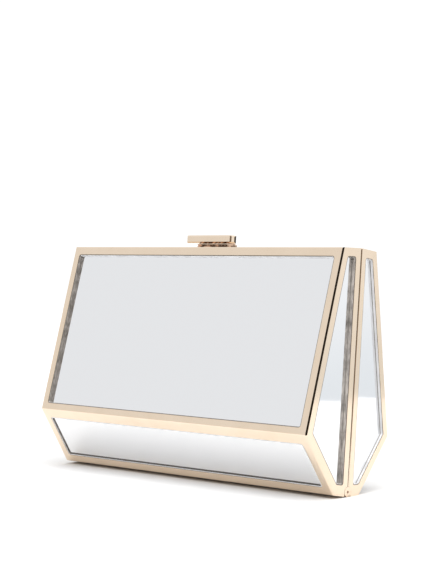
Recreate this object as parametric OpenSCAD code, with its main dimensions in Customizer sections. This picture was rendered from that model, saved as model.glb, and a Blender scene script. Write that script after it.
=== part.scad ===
// Mirrored box clutch: two half shells of a cast frame with mirror panels, joined by a
// pin hinge along the bottom of the split and held shut by a sliding bar clasp on top.
// Each half is drawn upright against the split plane y = 0 and the finished box then leans
// back on the bottom strip of its rear half, which is how it stands on a table.

/* [Box] */
// Length of the box at the split
box_l = 174; // [160:1:190]
// Height of the box at the split
box_h = 109; // [100:1:120]
// Height of the widest line above the bottom of the split
waist_z = 26.5; // [24:0.5:32]
// Depth of one half at the widest line
waist_y = 29; // [26:0.5:32]
// Depth of one half at the top strip
crown_y = 12; // [11:0.5:14]
// Depth of one half at the bottom strip
foot_y = 9; // [8:0.5:12]
// Slope of the ends and the top strip away from the split, in degrees
draft = 3; // [1:0.5:4]
// Slope of the bottom strips and the backward lean of the standing box, in degrees
lean = 5; // [3:0.5:6]

/* [Frame] */
// Thickness of the frame's walls
frame_t = 3; // [2.8:0.1:3.5]
// Gap between the rims of the two halves
split_gap = 0.4; // [0.2:0.1:0.6]
// Width of the rails at the sides of the two large windows
side_rail = 4; // [3.5:0.1:5]
// Width of the rail above the upper window
top_rail = 3.9; // [3.5:0.1:5]
// Width of the rail below the upper window
waist_rail = 3.2; // [2.8:0.1:4]
// Width of the rail above the lower window
chin_rail = 4.9; // [4.5:0.1:6.5]
// Width of the rail below the lower window
foot_rail = 3.9; // [3.5:0.1:5]
// Width of the end rail beside the split
split_rail = 3.4; // [3:0.1:4]
// Width of the other end rails
end_rail = 3.7; // [3.2:0.1:4.2]
// Radius of the window corners
window_r = 1.2; // [0.6:0.1:2]
// Width of the chamfer along the frame's long edges
edge_bevel = 0.9; // [0.4:0.1:1.2]
// Width of the chamfer round each rim
rim_bevel = 0.4; // [0.2:0.1:0.6]

/* [Mirror panels] */
// Thickness of the mirror panels
panel_t = 2.3; // [2:0.1:2.4]
// How far a panel's face lies below the frame
panel_sink = 0.15; // [0.05:0.05:0.3]
// Width of the ledge behind a panel
ledge_w = 1.4; // [1:0.1:1.8]
// Gap round a panel
panel_gap = 0.1; // [0.05:0.05:0.15]

/* [Inside] */
// Thickness of the stiff tray in each half
tray_t = 1; // [0.8:0.1:1.2]
// Thickness of the lining
lining_t = 0.8; // [0.6:0.1:1]

/* [Hinge] */
// Radius of the hinge barrel
barrel_r = 2.2; // [2:0.1:2.4]
// Radius of the hinge pin
pin_r = 0.6; // [0.5:0.05:0.7]
// Length of each end barrel
end_barrel_l = 26; // [20:1:30]
// Length of the middle barrel
mid_barrel_l = 28; // [20:1:40]

/* [Clasp] */
// Length of the clasp bar
bar_l = 28.8; // [26:0.2:30]
// Width of the clasp bar
bar_w = 5; // [4.6:0.1:5.4]
// Height of the clasp bar
bar_h = 3.7; // [3:0.1:4.5]
// Length of the plate below the bar
base_l = 19.2; // [19:0.1:20]
// Width of the plate below the bar
base_w = 6.8; // [6.6:0.1:7.4]
// Sideways travel of the bar
slide_travel = 7.3; // [7.1:0.1:7.4]

/* [Hidden] */
$fn = 48;

gold = [0.86, 0.74, 0.58];
mirror_grey = [0.88, 0.89, 0.90];
steel = [0.62, 0.62, 0.64];
tray_black = [0.12, 0.11, 0.11];
suede = [0.62, 0.53, 0.45];

// Corners of one half in its side view, as [y, z]. The front half lies at negative y.
rim_y = split_gap / 2;
crown = [-crown_y, box_h - crown_y * tan(draft)];
waist = [-waist_y, waist_z];
foot = [-foot_y, foot_y * tan(lean)];
crown_x = box_l / 2 - crown_y * tan(draft);
waist_x = box_l / 2 - waist_y * tan(draft);
foot_x = box_l / 2 - foot_y * tan(draft);
upper_l = norm(crown - waist);
lower_l = norm(waist - foot);
upper_tilt = atan2(crown[1] - waist[1], crown[0] - waist[0]);
lower_tilt = atan2(waist[1] - foot[1], waist[0] - foot[0]);
eps = 0.01;

// The hinge barrel touches both bottom strips
pin_z = barrel_r / cos(lean);
barrel_play = 0.15;
knuckle_gap = 0.2;
hinge_bay = 2.25;
pin_play = 0.05;
pin_recess = 0.7;
front_barrel_l = box_l / 2 - end_barrel_l - mid_barrel_l / 2 - 2 * knuckle_gap;

// Inside layers, as distances in from the outer faces
tray_out = frame_t + 0.05;
tray_in = tray_out + tray_t;
lining_out = tray_in + 0.05;
lining_in = lining_out + lining_t;
tray_rim = 0.5;
lining_rim = 0.7;

// Clasp: the bar's stem passes through the rear half, just behind the split
base_top = box_h + 1.75;
base_lift = 0.12;
base_neck_w = 4.6;
base_groove = 0.4;
bar_z = base_top + 0.45;
bar_bevel = 0.6;
bar_hip = 0.55;
bar_play = 0.08;
bar_x = -slide_travel / 2;
stem_l = 6;
stem_w = 1.2;
stem_y = 1.6;
stem_play = 0.15;
plate_t = 1;
plate_z = box_h - 5.2;
plate_back = 6;
stud_pitch = 16;
stud_r = 1;
stud_y = -2.8;
stud_x = [bar_x - 8.35, bar_x - 8.35 + stud_pitch];
stud_sink = 2;
hook_w = 1.3;
hook_clear = 0.15;
base_screw_x = 8.15;
base_screw_y = 1.9;
base_screw_r = 0.7;
rivet_x = 1.9;
rivet_r = 0.35;
head_t = 0.7;
cover_t = 0.6;
cover_x = [-17.5, 19.5];
cover_z = plate_z - 2.6;
rear_cover_y = 8.2;
front_cover_y = 7;
spring_t = 0.3;
spring_h = 2.4;
notch_r = 0.6;

// Moves the line through a and b to its left by d
function shifted(a, b, d) =
    let (n = [a[1] - b[1], b[0] - a[0]] / norm(b - a))
    [a + n * d, b + n * d];

// Point where two lines cross
function meet(l, m) =
    let (u = l[1] - l[0], v = m[1] - m[0], w = m[0] - l[0])
    l[0] + u * (w[0] * v[1] - w[1] * v[0]) / (u[0] * v[1] - u[1] * v[0]);

// Counter-clockwise convex outline with each side moved inwards by its own distance
function inset(p, d) =
    let (n = len(p))
    [for (i = [0 : n - 1])
        meet(shifted(p[(i + n - 1) % n], p[i], d[(i + n - 1) % n]),
             shifted(p[i], p[(i + 1) % n], d[i]))];

function even(p, d) = inset(p, [for (i = p) d]);

// Points of an arc that rounds the corner b between a and c
function corner_arc(a, b, c, r, steps = 5) =
    let (u = (a - b) / norm(a - b), v = (c - b) / norm(c - b),
         half = acos(u * v) / 2, bis = (u + v) / norm(u + v),
         o = b + bis * r / sin(half), start = b + u * r / tan(half) - o,
         turn = 180 - 2 * half, a0 = atan2(start[1], start[0]))
    [for (i = [0 : steps]) o + r * [cos(a0 + turn * i / steps), sin(a0 + turn * i / steps)]];

function rounded(p, r) =
    let (n = len(p))
    [for (i = [0 : n - 1])
        each corner_arc(p[(i + n - 1) % n], p[i], p[(i + 1) % n], r)];

// Outline with a chamfer of width w on each corner
function chamfered(p, w) =
    let (n = len(p))
    [for (i = [0 : n - 1])
        let (a = p[(i + n - 1) % n], b = p[i], c = p[(i + 1) % n],
             u = (a - b) / norm(a - b), v = (c - b) / norm(c - b),
             cut = w / norm(u - v))
        each [b + u * cut, b + v * cut]];

// Side view and top view of one half, with its outer faces moved in by d and its open
// side at y = -rim
function half_profile(d, rim) =
    inset([[0, 0], [0, box_h], crown, waist, foot], [rim, d, d, d, d]);

function half_plan(d, rim) =
    let (deep = waist_y + 10, deep_x = box_l / 2 - deep * tan(draft))
    inset([[box_l / 2, 0], [-box_l / 2, 0], [-deep_x, -deep], [deep_x, -deep]],
          [rim, d, 0, d]);

// A half's solid between its two outlines, drawn on the front side
module block(profile, plan) {
    intersection() {
        rotate([90, 0, 90])
            translate([0, 0, -box_l]) linear_extrude(2 * box_l) polygon(profile);
        translate([0, 0, -box_h]) linear_extrude(3 * box_h) polygon(plan);
    }
}

module half_block(d, rim) {
    block(half_profile(d, rim), half_plan(d, rim));
}

// Bevels the edge from a to b, whose outward direction is n, to the given width
module bevel_edge(a, b, n, width) {
    u = (b - a) / norm(b - a);
    w = n / norm(n);
    v = cross(w, u);
    o = a - w * width / 2 - 5 * u - 4 * v;
    multmatrix([
        [u[0], v[0], w[0], o[0]],
        [u[1], v[1], w[1], o[1]],
        [u[2], v[2], w[2], o[2]]
    ]) cube([norm(b - a) + 10, 8, 6]);
}

// Outward normals of the front half's faces; side is 1 for the right end, -1 for the left
upper_n = [0, -sin(upper_tilt), cos(upper_tilt)];
lower_n = [0, -sin(lower_tilt), cos(lower_tilt)];
function end_n(side) = [side * cos(draft), -sin(draft), 0];

// Bevels between the large faces and the ends
module end_bevels(side) {
    crown_p = [side * crown_x, crown[0], crown[1]];
    waist_p = [side * waist_x, waist[0], waist[1]];
    foot_p = [side * foot_x, foot[0], foot[1]];
    bevel_edge(crown_p, waist_p, upper_n + end_n(side), edge_bevel);
    bevel_edge(waist_p, foot_p, lower_n + end_n(side), edge_bevel);
}

// Window outlines, each in its face's own plane
upper_window = inset(
    [[-waist_x, -upper_l], [waist_x, -upper_l], [crown_x, 0], [-crown_x, 0]],
    [waist_rail, side_rail, top_rail, side_rail]);
lower_window = inset(
    [[-foot_x, -lower_l], [foot_x, -lower_l], [waist_x, 0], [-waist_x, 0]],
    [foot_rail, side_rail + 0.4, chin_rail, side_rail + 0.4]);
end_window = inset(
    [[0, 0], [0, box_h], crown, waist, foot],
    [split_rail, end_rail, end_rail, end_rail, end_rail + 1]);

module on_upper() {
    translate([0, crown[0], crown[1]]) rotate([upper_tilt, 0, 0]) children();
}

module on_lower() {
    translate([0, waist[0], waist[1]]) rotate([lower_tilt, 0, 0]) children();
}

// The end's plane: the child's x and y run along the box's y and z, its z points outwards
module on_end(side) {
    translate([side * box_l / 2, 0, 0])
        rotate([0, 0, -side * draft])
            rotate([90, 0, 90]) mirror([0, 0, side < 0 ? 1 : 0]) children();
}

// Recess for a panel and the smaller hole behind its ledge
module window_cut(outline) {
    translate([0, 0, -panel_t - panel_sink])
        linear_extrude(panel_t + panel_sink + 1) polygon(rounded(outline, window_r));
    translate([0, 0, -frame_t - 2])
        linear_extrude(frame_t + 2) polygon(rounded(even(outline, ledge_w), window_r));
}

module panel(outline) {
    color(mirror_grey)
        translate([0, 0, -panel_t - panel_sink])
            linear_extrude(panel_t)
                polygon(rounded(even(outline, panel_gap), window_r - panel_gap));
}

// Room for the hinge barrels along the whole bottom of the split
module hinge_room(extra) {
    translate([-box_l, 0, pin_z])
        rotate([0, 90, 0]) cylinder(r = barrel_r + extra, h = 2 * box_l);
    translate([-box_l, -hinge_bay, -1]) cube([2 * box_l, 2 * hinge_bay, pin_z + 1]);
}

module frame_half() {
    difference() {
        block(chamfered(half_profile(0, rim_y), rim_bevel),
              chamfered(half_plan(0, rim_y), rim_bevel));
        half_block(frame_t, -1);
        for (side = [-1, 1])
            end_bevels(side);
        on_upper() window_cut(upper_window);
        on_lower() window_cut(lower_window);
        for (side = [-1, 1])
            on_end(side) window_cut(end_window);
        hinge_room(barrel_play);
    }
}

module rear() {
    mirror([0, 1, 0]) children();
}

// Puts the upright box on the table: leaning back, with the middle of its depth at y = 0
module standing() {
    translate([0, -waist_z * sin(lean), 0]) rotate([-lean, 0, 0]) children();
}

// ---- Frames ----

module front_frame() {
    color(gold) standing() difference() {
        frame_half();
        for (x = stud_x)
            translate([x, stud_y, box_h - frame_t - 1])
                cylinder(r = stud_r, h = stud_sink + 1);
    }
}

module rear_frame() {
    slot_l = stem_l + slide_travel + 2 * stem_play;
    slot_w = stem_w + 2 * stem_play;
    color(gold) standing() difference() {
        rear() frame_half();
        translate([-slot_l / 2, stem_y - slot_w / 2, box_h - frame_t - 1])
            cube([slot_l, slot_w, frame_t + 2]);
        for (side = [-1, 1])
            translate([side * base_screw_x, base_screw_y, box_h - frame_t - 1])
                cylinder(r = base_screw_r + 0.1, h = frame_t + 2);
    }
}

// ---- Mirror panels ----

module front_upper_mirror() { standing() on_upper() panel(upper_window); }
module front_lower_mirror() { standing() on_lower() panel(lower_window); }
module front_left_mirror() { standing() on_end(-1) panel(end_window); }
module front_right_mirror() { standing() on_end(1) panel(end_window); }
module rear_upper_mirror() { standing() rear() on_upper() panel(upper_window); }
module rear_lower_mirror() { standing() rear() on_lower() panel(lower_window); }
module rear_left_mirror() { standing() rear() on_end(-1) panel(end_window); }
module rear_right_mirror() { standing() rear() on_end(1) panel(end_window); }

// ---- Trays and linings ----

// A layer inside a half, cut away round the hinge and round a clasp cover of depth cover_y
module layer_half(d_out, d_in, rim, cover_y) {
    margin = 0.1;
    difference() {
        half_block(d_out, rim);
        half_block(d_in, -1);
        hinge_room(barrel_play + margin);
        translate([cover_x[0] - margin, -cover_y - margin, cover_z])
            cube([cover_x[1] - cover_x[0] + 2 * margin, cover_y + 2, 14]);
    }
}

module front_tray() {
    color(tray_black) standing() layer_half(tray_out, tray_in, tray_rim, front_cover_y);
}

module rear_tray() {
    color(tray_black) standing() rear() layer_half(tray_out, tray_in, tray_rim, rear_cover_y);
}

module front_lining() {
    color(suede) standing() layer_half(lining_out, lining_in, lining_rim, front_cover_y);
}

module rear_lining() {
    color(suede) standing() rear() layer_half(lining_out, lining_in, lining_rim, rear_cover_y);
}

// ---- Hinge ----

// A barrel from x0 to x1 that fills its own side of the hinge's room and joins the front half
module knuckle(x0, x1, bore_r) {
    web = [
        [0, pin_z], [-hinge_bay, pin_z], [-hinge_bay, hinge_bay * tan(lean)],
        [-barrel_r * sin(lean), pin_z - barrel_r * cos(lean)]
    ];
    difference() {
        union() {
            translate([x0, 0, pin_z]) rotate([0, 90, 0]) cylinder(r = barrel_r, h = x1 - x0);
            translate([x0, 0, 0])
                rotate([90, 0, 90]) linear_extrude(x1 - x0) polygon(web);
            intersection() {
                translate([x0, 0, pin_z])
                    rotate([0, 90, 0]) cylinder(r = barrel_r + barrel_play, h = x1 - x0);
                translate([x0, -barrel_r, pin_z])
                    cube([x1 - x0, barrel_r - rim_y, 2 * barrel_r]);
            }
        }
        translate([x0 - 1, 0, pin_z])
            rotate([0, 90, 0]) cylinder(r = bore_r, h = x1 - x0 + 2);
    }
}

module front_hinge_knuckles() {
    start = mid_barrel_l / 2 + knuckle_gap;
    color(gold) standing() {
        knuckle(start, start + front_barrel_l, pin_r + pin_play);
        knuckle(-start - front_barrel_l, -start, pin_r + pin_play);
    }
}

module rear_hinge_knuckles() {
    outer = box_l / 2 - hinge_bay * tan(draft);
    color(gold) standing() rear() {
        knuckle(-mid_barrel_l / 2, mid_barrel_l / 2, pin_r);
        for (side = [-1, 1])
            scale([side, 1, 1]) knuckle(box_l / 2 - end_barrel_l, outer, pin_r);
    }
}

module hinge_pin() {
    pin_l = box_l - 2 * pin_recess;
    color(steel) standing()
        translate([-pin_l / 2, 0, pin_z]) rotate([0, 90, 0]) cylinder(r = pin_r, h = pin_l);
}

// ---- Clasp ----

function bevelled(l, w, c) = [
    [-l / 2, -w / 2 + c], [-l / 2 + c, -w / 2], [l / 2 - c, -w / 2], [l / 2, -w / 2 + c],
    [l / 2, w / 2 - c], [l / 2 - c, w / 2], [-l / 2 + c, w / 2], [-l / 2, w / 2 - c]
];

// Top view of the bar: bevelled, with the rear of each end tapering in by the hip
function bar_plan(l, w, c, hip) = [
    [-l / 2, -w / 2 + c], [-l / 2 + c, -w / 2], [l / 2 - c, -w / 2], [l / 2, -w / 2 + c],
    [l / 2, 0], [l / 2 - hip, w / 2 - c], [l / 2 - hip - c, w / 2], [-l / 2 + hip + c, w / 2],
    [-l / 2 + hip, w / 2 - c], [-l / 2, 0]
];

module clasp_bar() {
    mid_z = bar_z + bar_h / 2;
    stem_base = plate_z + plate_t;
    color(gold) standing() difference() {
        union() {
            translate([bar_x, 0, mid_z]) intersection() {
                linear_extrude(bar_h, center = true)
                    polygon(bar_plan(bar_l, bar_w, bar_bevel, bar_hip));
                rotate([90, 0, 90])
                    linear_extrude(bar_l, center = true) polygon(bevelled(bar_w, bar_h, bar_bevel));
                rotate([90, 0, 0])
                    linear_extrude(bar_w, center = true) polygon(bevelled(bar_l, bar_h, bar_bevel));
            }
            translate([bar_x - stem_l / 2, stem_y - stem_w / 2, stem_base])
                cube([stem_l, stem_w, bar_z + bar_bevel - stem_base]);
        }
        for (side = [-1, 1])
            translate([bar_x + side * rivet_x, stem_y, stem_base - 1])
                cylinder(r = rivet_r, h = 4);
    }
}

module clasp_base() {
    slot_l = stem_l + slide_travel + 2 * stem_play;
    slot_w = stem_w + 2 * stem_play;
    lip = 0.35;
    side_view = [
        [-base_w / 2, box_h + base_lift], [0, box_h + base_lift], [rim_y, box_h],
        [rim_y, box_h - rim_y * tan(draft)], [base_w / 2, box_h - base_w / 2 * tan(draft)],
        [base_w / 2, base_top - lip], [base_w / 2 - lip, base_top],
        [base_neck_w / 2, base_top], [base_neck_w / 2, bar_z - bar_play],
        [-base_neck_w / 2, bar_z - bar_play], [-base_neck_w / 2, base_top],
        [-base_w / 2 + lip / 2, base_top], [-base_w / 2, base_top - lip / 2],
        [-base_w / 2, base_top - lip], [-base_w / 2 + base_groove, base_top - 2 * lip],
        [-base_w / 2 + base_groove, box_h + base_lift + 2 * lip],
        [-base_w / 2, box_h + base_lift + lip]
    ];
    color(gold) standing() difference() {
        translate([-base_l / 2, 0, 0])
            rotate([90, 0, 90]) linear_extrude(base_l) polygon(side_view);
        translate([-slot_l / 2, stem_y - slot_w / 2, box_h - 1]) cube([slot_l, slot_w, 4]);
        for (side = [-1, 1])
            translate([side * base_screw_x, base_screw_y, box_h - 1])
                cylinder(r = base_screw_r, h = 2.2);
    }
}

// Height of the underside of a top strip at a distance y from the split
function strip_z(y) = box_h - frame_t / cos(draft) - y * tan(draft) - eps;

module clasp_base_screws() {
    head_r = 1.3;
    seat_z = strip_z(base_screw_y + head_r);
    color(steel) standing()
        for (side = [-1, 1])
            translate([side * base_screw_x, base_screw_y, 0]) {
                translate([0, 0, seat_z - head_t]) cylinder(r = head_r, h = head_t);
                translate([0, 0, seat_z - eps]) cylinder(r = base_screw_r, h = box_h + 1 - seat_z);
            }
}

// The plate slides below the top strips. Its two hooks hold the studs until it moves right.
module clasp_hook_plate() {
    tip_y = stud_y - stud_r - hook_clear - hook_w;
    tip_l = 1.4;
    root_x = stud_r + 0.7;
    root_w = 2.4;
    front_y = 0.2;
    left_x = stud_x[0] - 0.5;
    right_x = stud_x[1] + root_x + root_w;
    color(steel) standing() difference() {
        union() {
            translate([left_x, front_y, plate_z])
                cube([right_x - left_x, plate_back - front_y, plate_t]);
            for (x = stud_x) {
                translate([x + root_x, tip_y, plate_z])
                    cube([root_w, front_y - tip_y + 1, plate_t]);
                translate([x - tip_l, tip_y, plate_z])
                    cube([tip_l + root_x + root_w, hook_w, plate_t]);
            }
        }
        for (side = [-1, 1])
            translate([bar_x + side * rivet_x, stem_y, plate_z - 1])
                cylinder(r = rivet_r, h = plate_t + 2);
        for (x = [0, -slide_travel])
            translate([x, plate_back, plate_z - 1])
                cylinder(r = notch_r, h = plate_t + 2);
    }
}

module clasp_hook_rivets() {
    color(steel) standing()
        for (side = [-1, 1])
            translate([bar_x + side * rivet_x, stem_y, 0]) {
                translate([0, 0, plate_z - head_t]) cylinder(r = 0.8, h = head_t);
                translate([0, 0, plate_z - eps]) cylinder(r = rivet_r, h = plate_t + 2.5);
            }
}

module strike_studs() {
    color(steel) standing()
        for (x = stud_x)
            translate([x, stud_y, 0]) {
                translate([0, 0, plate_z - 1.2]) cylinder(r = stud_r + 0.5, h = 0.8);
                translate([0, 0, plate_z - 0.5])
                    cylinder(r = stud_r, h = box_h - frame_t + stud_sink - plate_z + 0.5 - eps);
            }
}

// A shallow box below the front top strip, open towards the split
module cover_half(depth) {
    front_y = rim_y + 0.3;
    len_x = cover_x[1] - cover_x[0];
    side_view = [
        [-front_y, cover_z], [-front_y, strip_z(front_y)], [-depth, strip_z(depth)],
        [-depth, cover_z]
    ];
    difference() {
        translate([cover_x[0], 0, 0])
            rotate([90, 0, 90]) linear_extrude(len_x) polygon(side_view);
        translate([cover_x[0] + cover_t, cover_t - depth, cover_z + cover_t])
            cube([len_x - 2 * cover_t, depth, box_h - cover_z]);
    }
}

module front_clasp_cover() { color(gold) standing() cover_half(front_cover_y); }
module rear_clasp_cover() { color(gold) standing() rear() cover_half(rear_cover_y); }

// A leaf between the ends of the rear cover, with a dimple that sits in the plate's notch
module detent_spring() {
    back = rear_cover_y - cover_t;
    bow = plate_back + 0.25 + spring_t;
    tip = plate_back - 0.35 + spring_t;
    x0 = cover_x[0] + cover_t;
    x1 = cover_x[1] - cover_t;
    leaf = [
        [x0, back], [x0 + 5, back], [-1.5, bow], [-notch_r, bow], [0, tip],
        [notch_r, bow], [1.5, bow], [x1 - 5, back], [x1, back]
    ];
    inner = [for (i = [len(leaf) - 1 : -1 : 0]) leaf[i] - [0, spring_t]];
    color(steel) standing()
        translate([0, 0, plate_z + plate_t / 2 - spring_h / 2])
            linear_extrude(spring_h) polygon(concat(leaf, inner));
}

front_frame();
front_upper_mirror();
front_lower_mirror();
front_left_mirror();
front_right_mirror();
front_tray();
front_lining();
front_hinge_knuckles();
strike_studs();
rear_frame();
rear_upper_mirror();
rear_lower_mirror();
rear_left_mirror();
rear_right_mirror();
rear_tray();
rear_lining();
rear_hinge_knuckles();
hinge_pin();
clasp_base();
clasp_base_screws();
front_clasp_cover();
rear_clasp_cover();
detent_spring();
clasp_bar();
clasp_hook_plate();
clasp_hook_rivets();
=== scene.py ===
import math

import bmesh
import bpy
from mathutils import Matrix, Vector
from mathutils import noise as mnoise

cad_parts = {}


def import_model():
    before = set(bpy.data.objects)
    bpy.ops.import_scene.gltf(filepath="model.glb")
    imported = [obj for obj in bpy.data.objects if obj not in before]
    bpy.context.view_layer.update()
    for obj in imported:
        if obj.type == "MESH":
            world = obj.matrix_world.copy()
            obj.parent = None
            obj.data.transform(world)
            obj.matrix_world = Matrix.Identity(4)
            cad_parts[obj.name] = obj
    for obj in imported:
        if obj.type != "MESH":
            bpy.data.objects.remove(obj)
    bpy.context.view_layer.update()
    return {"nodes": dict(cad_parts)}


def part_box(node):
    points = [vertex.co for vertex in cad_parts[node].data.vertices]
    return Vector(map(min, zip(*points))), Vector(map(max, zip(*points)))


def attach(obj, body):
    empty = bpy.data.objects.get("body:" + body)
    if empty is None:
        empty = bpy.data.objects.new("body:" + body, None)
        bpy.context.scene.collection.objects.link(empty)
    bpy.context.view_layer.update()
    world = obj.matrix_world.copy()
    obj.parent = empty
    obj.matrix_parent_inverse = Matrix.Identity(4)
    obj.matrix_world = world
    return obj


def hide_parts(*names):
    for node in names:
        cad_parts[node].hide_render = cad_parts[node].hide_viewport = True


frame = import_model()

# Looks of the mirrored box clutch, in metres, in the CAD's frame: +X along the box, +Y from
# the front half to the rear half, +Z up. The box leans back on its rear half's bottom strip.

nodes = frame["nodes"]
MM = 0.001
HALVES = {"front": "front_half", "rear": "rear_half"}
SIDES = ("upper", "lower", "left", "right")

# Camera, fitted to the box's corners
CAMERA_AT = Vector((0.53137, -0.56307, 0.10831))
CAMERA_YAW = math.radians(43.045)
CAMERA_PITCH = math.radians(1.325)
CAMERA_ROLL = math.radians(0.096)
CAMERA_LENS = 103.06

# Mirror panels: their thickness and the dark seam at the foot of the cut edge
PANEL_T = 2.3 * MM
SEAM = 0.2 * MM

# Fine rounding of the frames' and the clasp bar's edges
EDGE_BEVEL = 0.12 * MM

# Points closer than this are one point
SNAP = 0.01 * MM

# Lining pads: thickness, and how far in and up each step of the rolled edge goes
PAD_T = 0.75 * MM
PAD_STEPS = ((0.3 * MM, 0.25 * MM), (0.7 * MM, 0.1 * MM))
PAD_ROLL = sum(rise for _, rise in PAD_STEPS)

# Crown of a pad, the flat border round it, the width over which it rises, the spacing of the
# cloth's mesh, and the smallest wall that has a pad
PAD_CROWN = 0.25 * MM
PAD_BORDER = 1.1 * MM
PAD_RISE = 9 * MM
PAD_GRID = 6 * MM
PAD_AREA = 400 * MM * MM


# ---- Materials ----

def shader(name):
    """A new material, its node tree and its surface shader."""
    material = bpy.data.materials.new(name)
    material.use_nodes = True
    tree = material.node_tree
    return material, tree, tree.nodes["Principled BSDF"]


def add(tree, kind, inputs=None, **settings):
    """A new shader node. A value in inputs is a plain value or another node's output."""
    made = tree.nodes.new("ShaderNode" + kind)
    for name, value in settings.items():
        setattr(made, name, value)
    for name, value in (inputs or {}).items():
        if isinstance(value, bpy.types.NodeSocket):
            tree.links.new(value, made.inputs[name])
        else:
            made.inputs[name].default_value = value
    return made


def set_values(base, values):
    """Sets inputs of a surface shader that are the same all over."""
    for name, value in values.items():
        base.inputs[name].default_value = value


def noise(tree, scale, detail=2.0, stretch=None):
    """Noise over the object, scale in cycles per metre, stretched along an axis if asked."""
    at = add(tree, "TexCoord").outputs["Object"]
    if stretch:
        at = add(tree, "Mapping", {"Vector": at, "Scale": stretch}).outputs["Vector"]
    return add(tree, "TexNoise", {"Vector": at, "Scale": scale, "Detail": detail}).outputs["Fac"]


def spread(tree, value, low, high, start=0.3, end=0.7):
    """Maps a value between start and end to a range from low to high."""
    return add(tree, "MapRange", {"Value": value, "From Min": start, "From Max": end,
                                  "To Min": low, "To Max": high}).outputs["Result"]


def blend_colours(tree, value, low, high, start=0.3, end=0.7):
    """The colour low where the value is below start, blending to high at end."""
    ramp = add(tree, "ValToRGB", {"Fac": value})
    first, last = ramp.color_ramp.elements
    first.position, first.color = start, (*low, 1)
    last.position, last.color = end, (*high, 1)
    return ramp.outputs["Color"]


def mix(tree, factor, low, high):
    """The colour low where the factor is 0 and high where it is 1."""
    made = add(tree, "MixRGB", {"Fac": factor, "Color1": low, "Color2": high})
    return made.outputs["Color"]


def bump(tree, base, height, distance, strength=1.0):
    """Fine relief on a surface: the height from 0 to 1 stands for the distance."""
    made = add(tree, "Bump", {"Height": height, "Distance": distance, "Strength": strength})
    tree.links.new(made.outputs["Normal"], base.inputs["Normal"])


def plating(tree):
    """The pale gold of the plating, slightly uneven."""
    return blend_colours(tree, noise(tree, 90), (0.87, 0.715, 0.552), (0.9, 0.745, 0.585))


def gold():
    """Polished plating with faint cast waves and fine rubbing marks."""
    material, tree, base = shader("polished_gold")
    set_values(base, {"Metallic": 1.0})
    tree.links.new(plating(tree), base.inputs["Base Color"])
    rub = noise(tree, 700, 4, (1, 5, 5))
    tree.links.new(spread(tree, rub, 0.06, 0.13), base.inputs["Roughness"])
    bump(tree, base, noise(tree, 60, 1), 0.04 * MM)
    return material


def gold_with_painted_shade(name, shade_below, unshaded_above):
    """Gold on the small cast parts: plain plating where a spot is open, painted shade in mottled
    brown in the recesses.
    The two limits say how open a spot is, from 0 to 1, where it is all painted shade and where it
    has none."""
    material, tree, base = shader(name)
    set_values(base, {"Metallic": 1.0})
    # Painted shade: this mottled brown stands in for the shade in the recesses, and the ambient
    # occlusion below mixes it in where the part is closed in.
    shade_tone = blend_colours(tree, noise(tree, 420), (0.08, 0.03, 0.01), (0.68, 0.44, 0.3),
                          0.42, 0.6)
    openness = add(tree, "AmbientOcclusion", {"Distance": 3 * MM}, samples=8).outputs["AO"]
    unshaded = spread(tree, openness, 0, 1, shade_below, unshaded_above)
    tree.links.new(mix(tree, unshaded, shade_tone, plating(tree)), base.inputs["Base Color"])
    tree.links.new(spread(tree, unshaded, 0.35, 0.1, 0, 1), base.inputs["Roughness"])
    bump(tree, base, noise(tree, 500), 0.08 * MM)
    return material


def mirror():
    material, tree, base = shader("silvered_mirror")
    set_values(base, {"Metallic": 1.0, "Base Color": (0.9, 0.905, 0.915, 1)})
    haze = noise(tree, 30, 3, (1, 1, 3))
    tree.links.new(spread(tree, haze, 0.015, 0.05), base.inputs["Roughness"])
    bump(tree, base, noise(tree, 22, 1), 0.03 * MM)
    return material


def edge(name, dark, light, scale):
    """An edge of an acrylic sheet, seen through its face: mottled along its length."""
    material, tree, base = shader(name)
    set_values(base, {"Roughness": 0.35, "IOR": 1.49})
    tone = blend_colours(tree, noise(tree, scale, 4, (1, 1, 0.35)), dark, light)
    tree.links.new(tone, base.inputs["Base Color"])
    bump(tree, base, noise(tree, 2500), 0.05 * MM)
    return material


def panel_back():
    material, tree, base = shader("panel_backing")
    set_values(base, {"Roughness": 0.6})
    tone = blend_colours(tree, noise(tree, 300), (0.2, 0.2, 0.21), (0.28, 0.28, 0.29))
    tree.links.new(tone, base.inputs["Base Color"])
    return material


def brushed_steel():
    material, tree, base = shader("brushed_steel_part")
    set_values(base, {"Metallic": 1.0})
    lines = noise(tree, 1200, 3, (0.15, 4, 4))
    tone = blend_colours(tree, lines, (0.52, 0.52, 0.53), (0.68, 0.68, 0.69))
    tree.links.new(tone, base.inputs["Base Color"])
    tree.links.new(spread(tree, lines, 0.22, 0.4), base.inputs["Roughness"])
    bump(tree, base, lines, 0.02 * MM)
    return material


def tray_plastic():
    material, tree, base = shader("moulded_tray")
    grain = noise(tree, 2600, 3)
    tone = blend_colours(tree, noise(tree, 120), (0.018, 0.016, 0.015), (0.03, 0.027, 0.025))
    tree.links.new(tone, base.inputs["Base Color"])
    tree.links.new(spread(tree, grain, 0.5, 0.7), base.inputs["Roughness"])
    bump(tree, base, grain, 0.04 * MM)
    return material


def suede():
    """Short nap: soft patches where it has been stroked, over a fine fibre grain."""
    material, tree, base = shader("suede_nap")
    set_values(base, {"Roughness": 0.95, "Sheen Weight": 0.55, "Sheen Roughness": 0.4,
                      "Sheen Tint": (0.95, 0.88, 0.8, 1)})
    nap = noise(tree, 45, 3)
    fibre = noise(tree, 5200, 3, (1, 1, 2.5))
    both = add(tree, "Mix", {"Factor": 0.45, "A": nap, "B": fibre})
    tone = blend_colours(tree, both.outputs["Result"], (0.36, 0.27, 0.2), (0.52, 0.42, 0.33))
    tree.links.new(tone, base.inputs["Base Color"])
    bump(tree, base, fibre, 0.15 * MM, 0.6)
    return material


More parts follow.
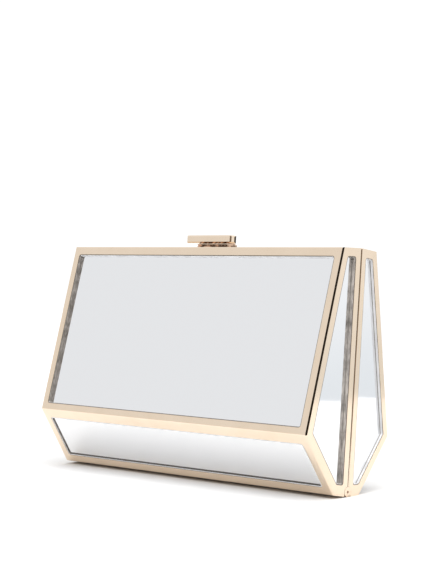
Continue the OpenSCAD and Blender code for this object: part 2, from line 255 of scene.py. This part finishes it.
GOLD = gold()
# The clasp base and the hinge knuckles get painted shade in their recesses.
CLASP_GOLD = gold_with_painted_shade("clasp_gold_painted_shade", 0.68, 1.0)
HINGE_GOLD = gold_with_painted_shade("hinge_gold_painted_shade", 0.35, 0.75)
MIRROR = mirror()
# The panels' cut edges are one acrylic edge in copies of different lightness. The darker copies
# are painted shade and the lighter ones painted light, set by how much light each edge gets.
EDGE_PAINTED_SHADE = edge("panel_edge_painted_shade", (0.12, 0.105, 0.09), (0.34, 0.31, 0.285), 900)
EDGE_PAINTED_HALF_LIGHT = edge("panel_edge_painted_half_light", (0.17, 0.155, 0.14), (0.62, 0.57, 0.525), 650)
# Painted deep shade: the bottom wall of the lower panels, which lies in shade.
EDGE_PAINTED_DEEP_SHADE = edge("panel_edge_painted_deep_shade", (0.03, 0.024, 0.018), (0.09, 0.075, 0.06), 1200)
EDGE_PAINTED_LIGHT = edge("panel_edge_painted_light", (0.64, 0.64, 0.65), (0.84, 0.84, 0.85), 300)
SEAM_LINE = edge("panel_seam", (0.13, 0.115, 0.1), (0.26, 0.235, 0.21), 1500)
PANEL_BACK = panel_back()
STEEL = brushed_steel()
TRAY = tray_plastic()
SUEDE = suede()


# ---- CAD nodes that stay ----

def finish_node(name, material, bevel=0.0):
    """Gives a CAD node its material and, if asked, fine rounded edges."""
    shown = nodes[name]
    shown.data.materials.clear()
    shown.data.materials.append(material)
    if bevel:
        weld = shown.modifiers.new("weld", "WELD")
        weld.merge_threshold = 0.1 * SNAP
        cut = shown.modifiers.new("edges", "BEVEL")
        cut.width = bevel
        cut.segments = 2
        cut.limit_method = "ANGLE"
        cut.angle_limit = math.radians(30)
        cut.harden_normals = True


for half in HALVES:
    finish_node(f"{half}_frame", GOLD, EDGE_BEVEL)
    finish_node(f"{half}_tray", TRAY)
    finish_node(f"{half}_hinge_knuckles", HINGE_GOLD)
    finish_node(f"{half}_clasp_cover", GOLD)
finish_node("clasp_bar", GOLD, EDGE_BEVEL)
finish_node("clasp_base", CLASP_GOLD)
for name in ("hinge_pin", "strike_studs", "clasp_base_screws", "detent_spring",
             "clasp_hook_plate", "clasp_hook_rivets"):
    finish_node(name, STEEL)


# ---- Mirror panels ----

def flat_faces(name):
    """Total area and area-weighted middle of each flat face of a CAD node, by its normal."""
    found = {}
    for p in nodes[name].data.polygons:
        key = tuple(round(c, 2) for c in p.normal)
        area, middle, normal = found.get(key, (0.0, Vector(), Vector()))
        found[key] = (area + p.area, middle + p.center * p.area, normal + p.normal * p.area)
    return [(area, middle / area, normal.normalized()) for area, middle, normal in found.values()]


def outer_outline(name, centre):
    """Outline of a panel's outer face, counter-clockwise seen from outside, and its normal."""
    largest = sorted(flat_faces(name), key=lambda face: -face[0])[:2]
    middle, out = max(((m, n) for _, m, n in largest),
                      key=lambda face: (face[0] - centre) @ face[1])
    level = middle @ out
    corners = {}
    for v in nodes[name].data.vertices:
        if abs(v.co @ out - level) < SNAP:
            corners[tuple(round(c / SNAP) for c in v.co)] = v.co.copy()
    across = out.orthogonal().normalized()
    along = out.cross(across)
    ordered = sorted(corners.values(),
                     key=lambda p: math.atan2((p - middle) @ along, (p - middle) @ across))
    return ordered, out


def shrink(loop, out, distance):
    """A convex outline with every side moved inwards."""
    made = []
    for i, p in enumerate(loop):
        before = (p - loop[i - 1]).normalized()
        after = (loop[(i + 1) % len(loop)] - p).normalized()
        n0 = out.cross(before)
        n1 = out.cross(after)
        made.append(p + (n0 + n1) * distance / (1 + n0 @ n1))
    return made


def skin(rings, caps):
    """A bmesh through closed rings of equal length, with a face over the first and last.
    The sides between rings k and k + 1 take material k."""
    mesh = bmesh.new()
    rows = [[mesh.verts.new(p) for p in ring] for ring in rings]
    n = len(rows[0])
    for k, (low, high) in enumerate(zip(rows, rows[1:])):
        for i in range(n):
            j = (i + 1) % n
            mesh.faces.new((low[i], low[j], high[j], high[i])).material_index = k
    for row, material in ((rows[0][::-1], caps[0]), (rows[-1], caps[1])):
        mesh.faces.new(row).material_index = material
    return mesh


def new_piece(name, mesh, materials):
    data = bpy.data.meshes.new(name)
    mesh.to_mesh(data)
    mesh.free()
    for material in materials:
        data.materials.append(material)
    made = bpy.data.objects.new(name, data)
    bpy.context.scene.collection.objects.link(made)
    return made


def panel_look(half, side):
    """How deep a panel's silvering lies, the width and material of the strip of clear face
    left round it, and the materials of its cut edge: across the box, then along it."""
    # The edge tones here differ only by painted light and shade.
    if side == "upper":
        return 1.6 * MM, 0.3 * MM, SEAM_LINE, EDGE_PAINTED_SHADE, EDGE_PAINTED_LIGHT
    if side == "lower":
        return 0.6 * MM, 0.5 * MM, EDGE_PAINTED_LIGHT, EDGE_PAINTED_SHADE, EDGE_PAINTED_DEEP_SHADE
    if half == "front":
        return 1.75 * MM, 0.32 * MM, SEAM_LINE, EDGE_PAINTED_HALF_LIGHT, EDGE_PAINTED_HALF_LIGHT
    return 1.3 * MM, 0.32 * MM, EDGE_PAINTED_HALF_LIGHT, EDGE_PAINTED_LIGHT, EDGE_PAINTED_LIGHT


def mirror_panel(half, side):
    """A sheet silvered on its inner side. The clear layer in front is left open, so that its
    cut edge shows all round the mirror as it does through the real sheet."""
    node = f"{half}_{side}_mirror"
    low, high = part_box(f"{half}_frame")
    loop, out = outer_outline(node, (low + high) / 2)
    depth, lip, lip_look, edge_look, long_edge_look = panel_look(half, side)
    inner = shrink(loop, out, lip)
    rings = (
        [p - out * PANEL_T for p in loop],
        loop,
        inner,
        [p - out * (depth - SEAM) for p in inner],
        [p - out * depth for p in inner],
    )
    materials = (PANEL_BACK, lip_look, edge_look, SEAM_LINE, MIRROR, long_edge_look)
    back, edge_slots, silver, long_edge = 0, (2, 3), 4, 5
    mesh = skin(rings, (back, silver))
    mesh.normal_update()
    # The walls along the box take their own tone: painted light on the upper panels, painted deep
    # shade on the lower ones.
    if side in ("upper", "lower"):
        for face in mesh.faces:
            if face.material_index in edge_slots and abs(face.normal.x) < 0.5:
                face.material_index = long_edge
    piece = new_piece(f"{half}_{side}_mirror_sheet", mesh, materials)
    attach(piece, HALVES[half])
    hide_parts(node)


for half in HALVES:
    for side in SIDES:
        mirror_panel(half, side)


# ---- Lining ----

def edge_distance(p, loop):
    """Distance from a point to the nearest side of an outline."""
    best = math.inf
    for a, b in zip(loop, loop[1:] + loop[:1]):
        t = max(0.0, min(1.0, (p - a).dot(b - a) / (b - a).length_squared))
        best = min(best, (p - a.lerp(b, t)).length)
    return best


def pad(mesh, loop, out):
    """Adds one pad to a mesh: flat behind, with a rolled edge and a crowned, slightly uneven
    cloth face. The loop is the pad's outline on the wall's face, and out points into the box."""
    rear = [mesh.verts.new(p - out * PAD_T) for p in loop]
    front = [mesh.verts.new(p - out * PAD_ROLL) for p in loop]
    n = len(loop)
    for i in range(n):
        j = (i + 1) % n
        mesh.faces.new((rear[i], rear[j], front[j], front[i]))
    mesh.faces.new(rear[::-1])
    face = mesh.faces.new(front)
    mesh.normal_update()
    for width, rise in PAD_STEPS:
        bmesh.ops.inset_individual(mesh, faces=[face], thickness=width, depth=rise,
                                   use_even_offset=True)
    cloth = [face]
    across = (loop[1] - loop[0]).normalized()
    for way in (across, out.cross(across)):
        reach = [p @ way for p in loop]
        steps = int((max(reach) - min(reach)) / PAD_GRID)
        for k in range(1, steps + 1):
            at = way * (min(reach) + k * (max(reach) - min(reach)) / (steps + 1))
            lines = {e for f in cloth for e in f.edges}
            points = {v for f in cloth for v in f.verts}
            cut = bmesh.ops.bisect_plane(mesh, geom=[*cloth, *lines, *points], dist=1e-7,
                                         plane_co=at, plane_no=way)
            cloth = [g for g in cut["geom"] if isinstance(g, bmesh.types.BMFace)]
    for v in {v for f in cloth for v in f.verts}:
        fade = min(1.0, max(0.0, edge_distance(v.co, loop) - PAD_BORDER) / PAD_RISE)
        uneven = mnoise.noise(v.co * 70) * 0.4
        v.co += out * PAD_CROWN * math.sin(fade * math.pi / 2) * (1 + uneven)


def padded_lining(half):
    """Suede-covered pads, one on each inner wall of a half, in place of the CAD's lining."""
    node = f"{half}_lining"
    walls = bmesh.new()
    walls.from_mesh(nodes[node].data)
    bmesh.ops.remove_doubles(walls, verts=walls.verts, dist=0.1 * SNAP)
    bmesh.ops.dissolve_limit(walls, angle_limit=math.radians(1), verts=walls.verts,
                             edges=walls.edges)
    low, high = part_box(node)
    centre = (low + high) / 2
    mesh = bmesh.new()
    for wall in walls.faces:
        faces_in = (centre - wall.calc_center_median()) @ wall.normal > 3 * MM
        if faces_in and wall.calc_area() > PAD_AREA:
            pad(mesh, [v.co.copy() for v in wall.verts], wall.normal.copy())
    walls.free()
    for face in mesh.faces:
        face.smooth = True
    piece = new_piece(f"{half}_lining_pads", mesh, (SUEDE,))
    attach(piece, HALVES[half])
    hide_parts(node)


for half in HALVES:
    padded_lining(half)


# ---- Stage ----

# Straight back edge of the table: its distance from the box, and the way it faces
TABLE_EDGE = 0.491
TABLE_EDGE_WAY = math.radians(63.8)
TABLE_SIZE = 2.4


def floor():
    """A white table top that ends a short way behind the box."""
    mesh = bmesh.new()
    away = Vector((math.cos(TABLE_EDGE_WAY), math.sin(TABLE_EDGE_WAY), 0))
    along = Vector((-away.y, away.x, 0))
    far = away * TABLE_EDGE
    near = away * (TABLE_EDGE - TABLE_SIZE)
    side = along * TABLE_SIZE
    corners = (far + side, near + side, near - side, far - side)
    mesh.faces.new([mesh.verts.new(p) for p in corners])
    material, tree, base = shader("white_table")
    set_values(base, {"Roughness": 0.8, "Base Color": (0.78, 0.78, 0.78, 1)})
    made = new_piece("table_top", mesh, (material,))


def facing(tree, way, at, inner, outer):
    """1 within inner degrees of the direction at, falling smoothly to 0 at outer degrees."""
    cosine = add(tree, "VectorMath", {0: way, 1: Vector(at).normalized()},
                 operation="DOT_PRODUCT").outputs["Value"]
    return add(tree, "MapRange", {"Value": cosine, "From Min": math.cos(math.radians(outer)),
                                  "From Max": math.cos(math.radians(inner))},
               interpolation_type="SMOOTHSTEP").outputs["Result"]


def world():
    """A white tent round the box, with soft grey walls, dark openings on the camera's side and
    a narrow one behind the box. A haze lies over the far edge of the table, to the right."""
    scene = bpy.context.scene
    scene.world = bpy.data.worlds.new("tent")
    scene.world.use_nodes = True
    tree = scene.world.node_tree
    way = add(tree, "TexCoord").outputs["Generated"]
    up = add(tree, "SeparateXYZ", {"Vector": way}).outputs["Z"]
    # Each wall's direction, the degrees from it where it is whole and where it ends, its colour
    walls = (
        ((-0.68, -0.62, 0.386), 25, 70, (0.865, 0.87, 0.88, 1)),
        ((0.70, 0.70, 0.30), 10, 40, (0.965, 0.98, 0.995, 1)),
        ((0.03, 1.00, 0.05), 19, 25, (0.04, 0.035, 0.03, 1)),
        ((0.70, -0.66, 0.08), 14, 34, (0.26, 0.2, 0.155, 1)),
        ((0.64, -0.60, 0.42), 11, 20, (0.02, 0.018, 0.016, 1)),
    )
    colour = (1.06, 1.06, 1.06, 1)
    for at, inner, outer, tone in walls:
        colour = mix(tree, facing(tree, way, at, inner, outer), colour, tone)
    low = add(tree, "MapRange", {"Value": up, "From Min": -0.09, "From Max": -0.01, "To Min": 1.0,
                                 "To Max": 0.0}, interpolation_type="SMOOTHSTEP")
    behind = facing(tree, way, (0.7, 0.7, 0), 30, 55)
    haze = add(tree, "Math", {0: low.outputs["Result"], 1: behind}, operation="MULTIPLY")
    colour = mix(tree, haze.outputs["Value"], colour, (0.85, 0.88, 0.905, 1))
    tree.links.new(colour, tree.nodes["Background"].inputs["Color"])


def overhead_light():
    """A wide softbox far above the table, a little to the camera's side."""
    light = bpy.data.lights.new("overhead", "SUN")
    light.energy = 2.4
    light.angle = math.radians(60)
    lamp = bpy.data.objects.new("overhead", light)
    lamp.rotation_mode = "QUATERNION"
    lamp.rotation_quaternion = Vector((-0.26, 0.24, -0.93)).to_track_quat("-Z", "Y")
    bpy.context.scene.collection.objects.link(lamp)


def camera():
    data = bpy.data.cameras.new("camera")
    data.lens = CAMERA_LENS
    data.sensor_width = 36
    data.clip_start = 0.01
    made = bpy.data.objects.new("camera", data)
    back = Vector((math.sin(CAMERA_YAW) * math.cos(CAMERA_PITCH),
                   -math.cos(CAMERA_YAW) * math.cos(CAMERA_PITCH), math.sin(CAMERA_PITCH)))
    right = Vector((math.cos(CAMERA_YAW), math.sin(CAMERA_YAW), 0))
    turned = Matrix((right, back.cross(right), back)).transposed().to_4x4()
    roll = Matrix.Rotation(CAMERA_ROLL, 4, "Z")
    made.matrix_world = Matrix.Translation(CAMERA_AT) @ turned @ roll
    bpy.context.scene.collection.objects.link(made)
    bpy.context.scene.camera = made


floor()
world()
overhead_light()
camera()
bpy.context.scene.view_settings.view_transform = "Standard"
